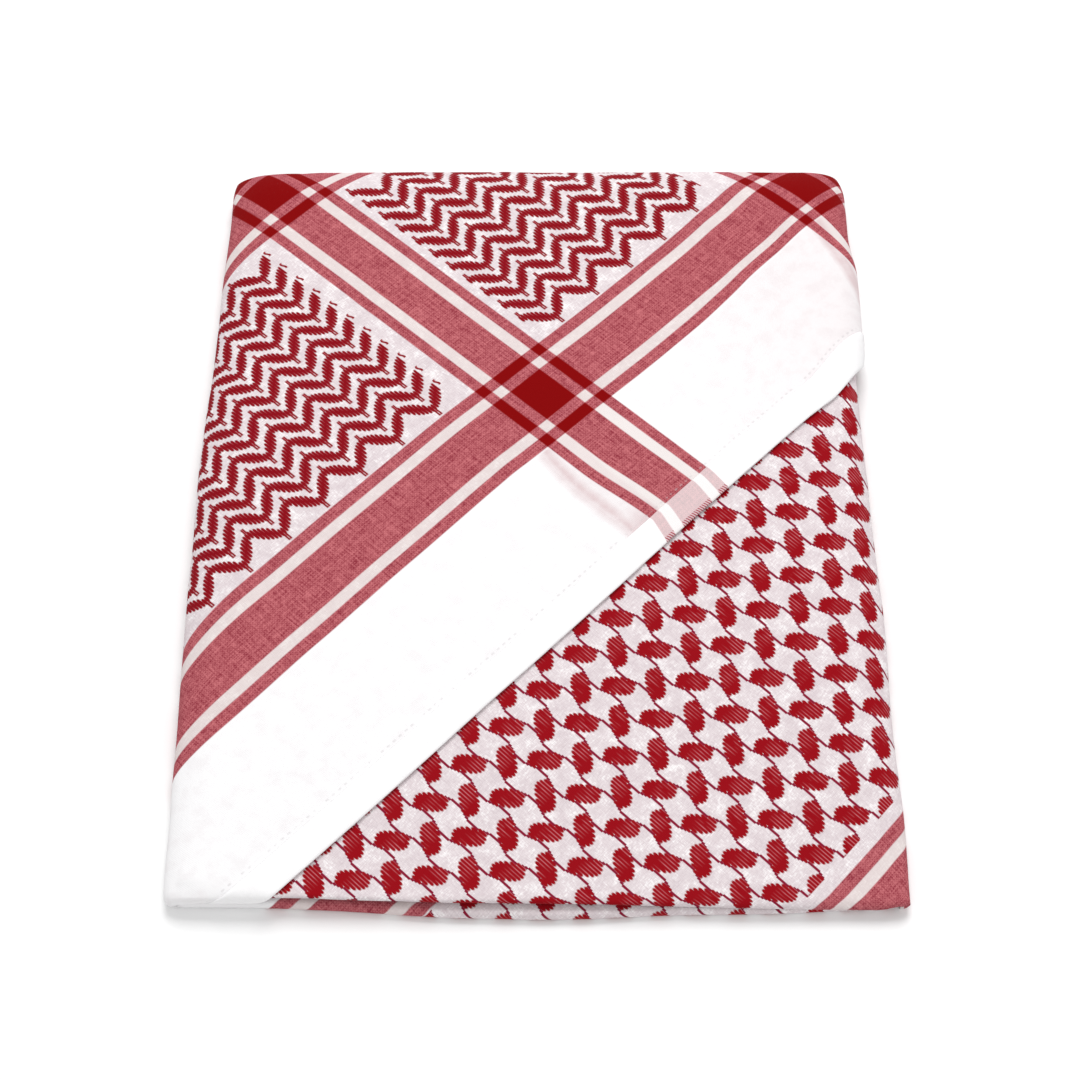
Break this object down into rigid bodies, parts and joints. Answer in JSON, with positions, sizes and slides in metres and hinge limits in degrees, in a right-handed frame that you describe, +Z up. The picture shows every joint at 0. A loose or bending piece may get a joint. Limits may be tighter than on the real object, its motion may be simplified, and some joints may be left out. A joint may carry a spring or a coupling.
{
  "type": "folded headscarf",
  "caption": "Square woven cotton headscarf in a chequered net pattern, folded on its diagonal and wound into a flat bundle, with a plain margin and turned hem on the outer flap.",
  "frame": {"origin": "on the floor, under the middle of the bundle", "axes": "+Z up from the surface it lies on, +Y away from the front fold, +X to the right as seen from the front"},
  "size_m": [0.254, 0.3133, 0.0212],
  "materials": {
    "flap_cloth": "matt woven cotton",
    "hem_cloth": "matt woven cotton",
    "panel_cloth": "matt woven cotton",
    "fold_cloth": "matt woven cotton"
  },
  "bodies": {
    "root": {"top_flap": "flap_cloth", "flap_hem": "hem_cloth", "lower_panel": "panel_cloth", "under_panel": "panel_cloth", "front_ply": "fold_cloth", "hidden_folds": "fold_cloth"}
  },
  "joints": []
}
